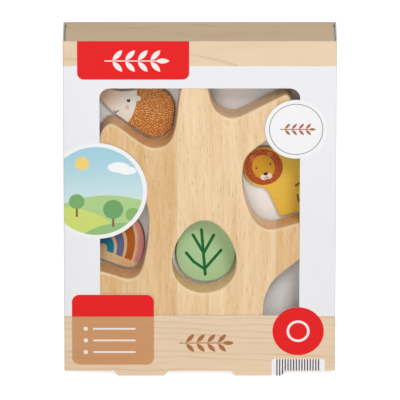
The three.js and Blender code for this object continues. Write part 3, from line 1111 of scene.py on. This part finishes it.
# %% Landscape in the large disc
PICTURE = (-74.1, 142.0)
HORIZON = 118.0
PALE_SKY = (226, 240, 238)
HIGH_SKY = (168, 212, 226)
CLOUD_WHITE = (248, 250, 250)
TRUNK_BROWN = (142, 98, 62)
SUN = ((248, 214, 120), -84.0, 163.0, 5.4, 0.8)
CLOUD_LEFT = (-58.0, 160.0, 5.2, 1.0, (0.6, 1.2))
CLOUD_RIGHT = (-52.0, 157.6, 4.2, 1.0, (0.55, 1.2))
HILLS = [
    ((176, 210, 142), -66.0, 60.0, 79.0, 0.5), ((206, 222, 118), -98.0, 74.0, 56.0, 0.5),
    ((150, 192, 128), -56.0, 70.0, 48.0, 0.5),
]
TREES = [
    ((112, 166, 104), -62.0, 128.0, 7.4), ((138, 184, 110), -48.0, 124.0, 5.4),
    ((124, 174, 108), -88.0, 134.0, 5.8),
]


def landscape(tree, spots):
    place = spots["Place"]
    up = past(tree, spots["Up"], HORIZON, 0.02)
    colour = mix_colour(tree, up, tone(*PALE_SKY), tone(*HIGH_SKY))
    cloud = math_node(tree, "MAXIMUM", disc(tree, place, *CLOUD_LEFT), disc(tree, place, *CLOUD_RIGHT))
    colour = layers(tree, dots(tree, place, colour, SUN), (cloud, CLOUD_WHITE))
    colour = dots(tree, place, colour, *HILLS)
    for paint, x, z, size in TREES:
        trunk = box(tree, place, x - 0.9, x + 0.9, z - size - 6.0, z, 0.4)
        colour = layers(tree, colour, (trunk, TRUNK_BROWN))
        colour = dots(tree, place, colour, (paint, x, z, size, 0.4))
    return colour


# %% Leaf sprigs
SPRIG_STEPS = (-0.75, -0.3, 0.15, 0.6)
SPRIG_LEAN = math.radians(48)
SPRIG_INK = (176, 108, 74)


def pointed_leaf(tree, place, x, z, length, width, angle):
    half, wide = length / 2, width / 2
    radius = (half * half + wide * wide) / (2 * wide)
    off = radius - wide
    across = (-math.sin(angle) * off, math.cos(angle) * off)
    one = disc(tree, place, x + across[0], z + across[1], radius)
    other = disc(tree, place, x - across[0], z - across[1], radius)
    return math_node(tree, "MINIMUM", one, other)


def sprig(tree, place, x, z, size, colour, ink):
    colour = layers(tree, colour, (stroke(tree, place, (x - size, z), (x + 0.8 * size, z), 0.5), ink))
    for step in SPRIG_STEPS:
        for side in (-1, 1):
            lean = side * SPRIG_LEAN
            reach = 0.29 * size
            leaf = pointed_leaf(
                tree, place, x + step * size + reach * math.cos(lean), z + reach * math.sin(lean),
                0.52 * size, 0.2 * size, lean)
            colour = layers(tree, colour, (leaf, ink))
    end = pointed_leaf(tree, place, x + 1.05 * size, z, 0.5 * size, 0.2 * size, 0.0)
    return layers(tree, colour, (end, ink))


# %% The whole front
RED_INK = (233, 31, 34)
BROWN_INK = (202, 140, 88)
PAPER_WHITE = (246, 246, 248)
LIST_INK = (244, 236, 226)
BAR_INK = (40, 38, 40)
BANNER = (-87.4, -7.4, 226.4, 270.0, 5.0)
LIST_FIELD = (-92.0, -32.8, 8.6, 62.7, 5.7)
LIST_ROWS = (36.4, 27.4, 18.4)
TAB_FOOT = 45.6
WHITE_DISC = (68.7, 188.9)
RED_DISC = (70.7, 34.5)
LABEL = (51.6, 90.2, -4.0, 13.2, 2.0)
BAR_FIELD = (55.0, 86.8, -4.0, 13.0, 0.2)
BARS_PER_MM = 0.5


def list_print(tree, spots, colour):
    place = spots["Place"]
    planks = printed_planks(tree, spots["Across"], spots["Up"])
    field = box(tree, place, *LIST_FIELD)
    colour = mix_colour(tree, field, colour, mix_colour(tree, 0.85, planks, tone(*BROWN_INK)))
    tab = times(tree, field, past(tree, spots["Up"], TAB_FOOT, EDGE_SHARP))
    colour = layers(tree, colour, (tab, RED_INK))
    for z in LIST_ROWS:
        colour = dots(tree, place, colour, (LIST_INK, -82.0, z, 1.7))
        colour = layers(tree, colour, (box(tree, place, -77.0, -46.0, z - 0.8, z + 0.8, 0.7), LIST_INK))
    return colour


def label_print(tree, spots, colour):
    bars = math_node(tree, "FRACT", times(tree, spots["Across"], BARS_PER_MM))
    field = times(tree, past(tree, bars, 0.5, 8.0), box(tree, spots["Place"], *BAR_FIELD))
    return layers(tree, colour, (box(tree, spots["Place"], *LABEL), PAPER_WHITE), (field, BAR_INK))


def front_print(tree, spots):
    place = spots["Place"]
    colour = wood_bands(tree, spots, spots["Across"])
    colour = layers(tree, colour, (box(tree, place, *BANNER), RED_INK))
    colour = sprig(tree, place, -47.4, 240.6, 20.0, colour, (246, 240, 236))
    colour = list_print(tree, spots, colour)
    colour = sprig(tree, place, 2.5, 25.4, 17.0, colour, (172, 112, 72))
    colour = dots(tree, place, colour, (PAPER_WHITE, *PICTURE, 36.5))
    colour = mix_colour(tree, disc(tree, place, *PICTURE, 33.6), colour, landscape(tree, spots))
    colour = dots(
        tree, place, colour, (PAPER_WHITE, *WHITE_DISC, 22.2), ((120, 112, 108), *WHITE_DISC, 19.4),
        (PAPER_WHITE, *WHITE_DISC, 18.9))
    colour = sprig(tree, place, *WHITE_DISC, 11.0, colour, SPRIG_INK)
    colour = dots(
        tree, place, colour, (RED_INK, *RED_DISC, 18.6), ((248, 240, 238), *RED_DISC, 8.4),
        (RED_INK, *RED_DISC, 6.6))
    return label_print(tree, spots, colour)


# %% [markdown]
# The cover is one sheet, so one material prints its front and its sides and leaves the inside bare.
# Which is which follows from the place on the carton. Along the folds the print is rubbed a little.

# %% The whole cover
WORN_BOARD = (246, 242, 236)
INSIDE_FRONT = -20.5
INSIDE_SIDE = 97.0
FRONT_ENDS = 97.3
FOLD_FROM = 96.2
FOLD_UNTIL = -19.4
FOLD_SHARP = 1.2
RUB_SCALE = 210.0
RUB_WEIGHT = 0.5


def side_print(tree, spots):
    side_place = join(tree, spots["Depth"], spots["Up"])
    colour = wood_bands(tree, spots, spots["Depth"])
    return sprig(tree, side_place, 0.0, 140.0, 11.0, colour, SPRIG_INK)


def cover_print(tree, spots):
    reach = math_node(tree, "ABSOLUTE", spots["Across"])
    before = short_of(tree, spots["Depth"], INSIDE_FRONT)
    outside = math_node(tree, "MAXIMUM", before, past(tree, reach, INSIDE_SIDE))
    flat = short_of(tree, reach, FRONT_ENDS, 8.0)
    printed = mix_colour(tree, flat, side_print(tree, spots), front_print(tree, spots))
    near_fold = past(tree, reach, FOLD_FROM, FOLD_SHARP)
    near_fold = times(tree, near_fold, short_of(tree, spots["Depth"], FOLD_UNTIL, FOLD_SHARP))
    spot = tree.nodes.new("ShaderNodeTexCoord").outputs["Object"]
    rubbed = past(tree, noise(tree, spot, RUB_SCALE, 4.0), 0.46, 3.0)
    rubbed = times(tree, times(tree, rubbed, near_fold), RUB_WEIGHT)
    printed = mix_colour(tree, rubbed, printed, tone(*WORN_BOARD))
    return mix_colour(tree, outside, tone(*BARE_BOARD), printed)


dress(cover, board_material("printed_cover", cover_print))

# %% [markdown]
# The other panels are flat, so their CAD solids are kept as they are and only get a material. Each is
# printed on the side that faces out; the flaps and the tray are plain board.

# %% Lid, floor panel, back, bare flaps and tray
LID_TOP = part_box("lid_panel")[1][2] / MM
FLOOR_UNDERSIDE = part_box("bottom_panel")[0][2] / MM
BACK_PLANE = 21.0
HALF_BOARD = 0.5
# painted light: a warm tint for the lid's print that offsets the grey sheen of sky light on the top
LID_PAINTED_LIGHT_TINT = (255, 250, 243)
TRAY_BOARD = (248, 247, 246)
FRAME_INK = (196, 150, 108)
BACK_FRAME = (-78.0, 78.0, 66.0, 218.0, 8.0)
BACK_FIELD = (-76.6, 76.6, 67.4, 216.6, 6.8)


def lid_print(tree, spots):
    planks = flat_sawn_planks(tree, spots["Across"], spots["Depth"])
    # painted light: the same printed wood as the front, tinted warmer to offset the sky's grey sheen on the
    # top
    planks = mix_colour(tree, 1.0, planks, tone(*LID_PAINTED_LIGHT_TINT), "MULTIPLY")
    return mix_colour(tree, past(tree, spots["Up"], LID_TOP - HALF_BOARD), tone(*BARE_BOARD), planks)


def bottom_print(tree, spots):
    planks = flat_sawn_planks(tree, spots["Across"], spots["Depth"])
    outside = short_of(tree, spots["Up"], FLOOR_UNDERSIDE + HALF_BOARD)
    return mix_colour(tree, outside, tone(*BARE_BOARD), planks)


def back_print(tree, spots):
    place = spots["Place"]
    colour = wood_bands(tree, spots, spots["Across"])
    colour = layers(tree, colour, (box(tree, place, *BACK_FRAME), FRAME_INK))
    colour = layers(tree, colour, (box(tree, place, *BACK_FIELD), WHITE_BOARD))
    colour = sprig(tree, place, 0.0, 142.0, 40.0, colour, SPRIG_INK)
    return mix_colour(tree, past(tree, spots["Depth"], BACK_PLANE - HALF_BOARD), tone(*BARE_BOARD), colour)


def plain(paint):
    return lambda tree, spots: tone(*paint)


PANEL_FINISHES = [
    (board_material("printed_lid", lid_print), ["lid_panel"]),
    (board_material("printed_bottom", bottom_print), ["bottom_panel"]),
    (board_material("printed_back", back_print), ["back_panel"]),
    (board_material("bare_board", plain(BARE_BOARD)), [
        "left_bottom_flap", "right_bottom_flap", "left_dust_flap", "right_dust_flap", "lid_tuck_flap"]),
    (board_material("tray_board", plain(TRAY_BOARD)), ["insert_tray"]),
]
for material, nodes in PANEL_FINISHES:
    for node in nodes:
        dress(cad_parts[node], material)
    print(material.name, "on", ", ".join(nodes))

# %% [markdown]
# ## Floor and light
# A pale floor and two soft lamps stand in for a studio table. The lamps are in front of the carton,
# so the front is brighter than the top. The camera sees white where it sees only floor and sky.

# %% Floor
FLOOR_SIZE = 40
FLOOR_LIFT = 0.7
WHITE = (1, 1, 1, 1)

clear_selection()
bpy.ops.mesh.primitive_plane_add(size=FLOOR_SIZE)
floor = bpy.context.object
floor.name = "studio_floor"
floor_material, floor_tree, floor_shader = start_material("studio_floor")[:3]
floor_shader.inputs["Base Color"].default_value = (0.9, 0.9, 0.9, 1)
floor_shader.inputs["Roughness"].default_value = 0.9
floor_shader.inputs["Specular IOR Level"].default_value = 0.0
rays = floor_tree.nodes.new("ShaderNodeLightPath").outputs
seen_rays = add(floor_tree, rays["Is Camera Ray"], rays["Is Glossy Ray"], True)
lift = put(floor_tree, "ShaderNodeEmission", {
    "Color": WHITE, "Strength": times(floor_tree, seen_rays, FLOOR_LIFT)})
both = put(floor_tree, "ShaderNodeAddShader", {0: floor_shader.outputs[0], 1: lift.outputs[0]})
floor_end = [n for n in floor_tree.nodes if n.type == "OUTPUT_MATERIAL"][0]
floor_tree.links.new(both.outputs[0], floor_end.inputs[0])
dress(floor, floor_material)

# %% Sky and lamps
SKY = 0.40
LAMP_AIM = (0, 0, 0.13)
KEY_PLACE = (0.56, -1.72, 1.55)
FILL_PLACE = (-0.35, -2.1, 0.70)

world = bpy.data.worlds.new("studio")
bpy.context.scene.world = world
world.use_nodes = True
sky = world.node_tree
background = [n for n in sky.nodes if n.type == "BACKGROUND"][0]
background.inputs["Color"].default_value = WHITE
seen = sky.nodes.new("ShaderNodeLightPath").outputs["Is Camera Ray"]
sky.links.new(plus(sky, SKY, seen, 1.0 - SKY), background.inputs["Strength"])


def soft_lamp(name, place, power, size):
    data = bpy.data.lights.new(name, "AREA")
    data.energy = power
    data.size = size
    lamp = bpy.data.objects.new(name, data)
    bpy.context.scene.collection.objects.link(lamp)
    lamp.location = place
    way = [LAMP_AIM[i] - place[i] for i in range(3)]
    flat = math.hypot(way[0], way[1])
    lamp.rotation_euler = (math.atan2(flat, -way[2]), 0, math.atan2(way[1], way[0]) - math.pi / 2)
    print(name, power, "W at", place)


soft_lamp("key_lamp", KEY_PLACE, 18.0, 0.6)
soft_lamp("fill_lamp", FILL_PLACE, 9.0, 1.0)
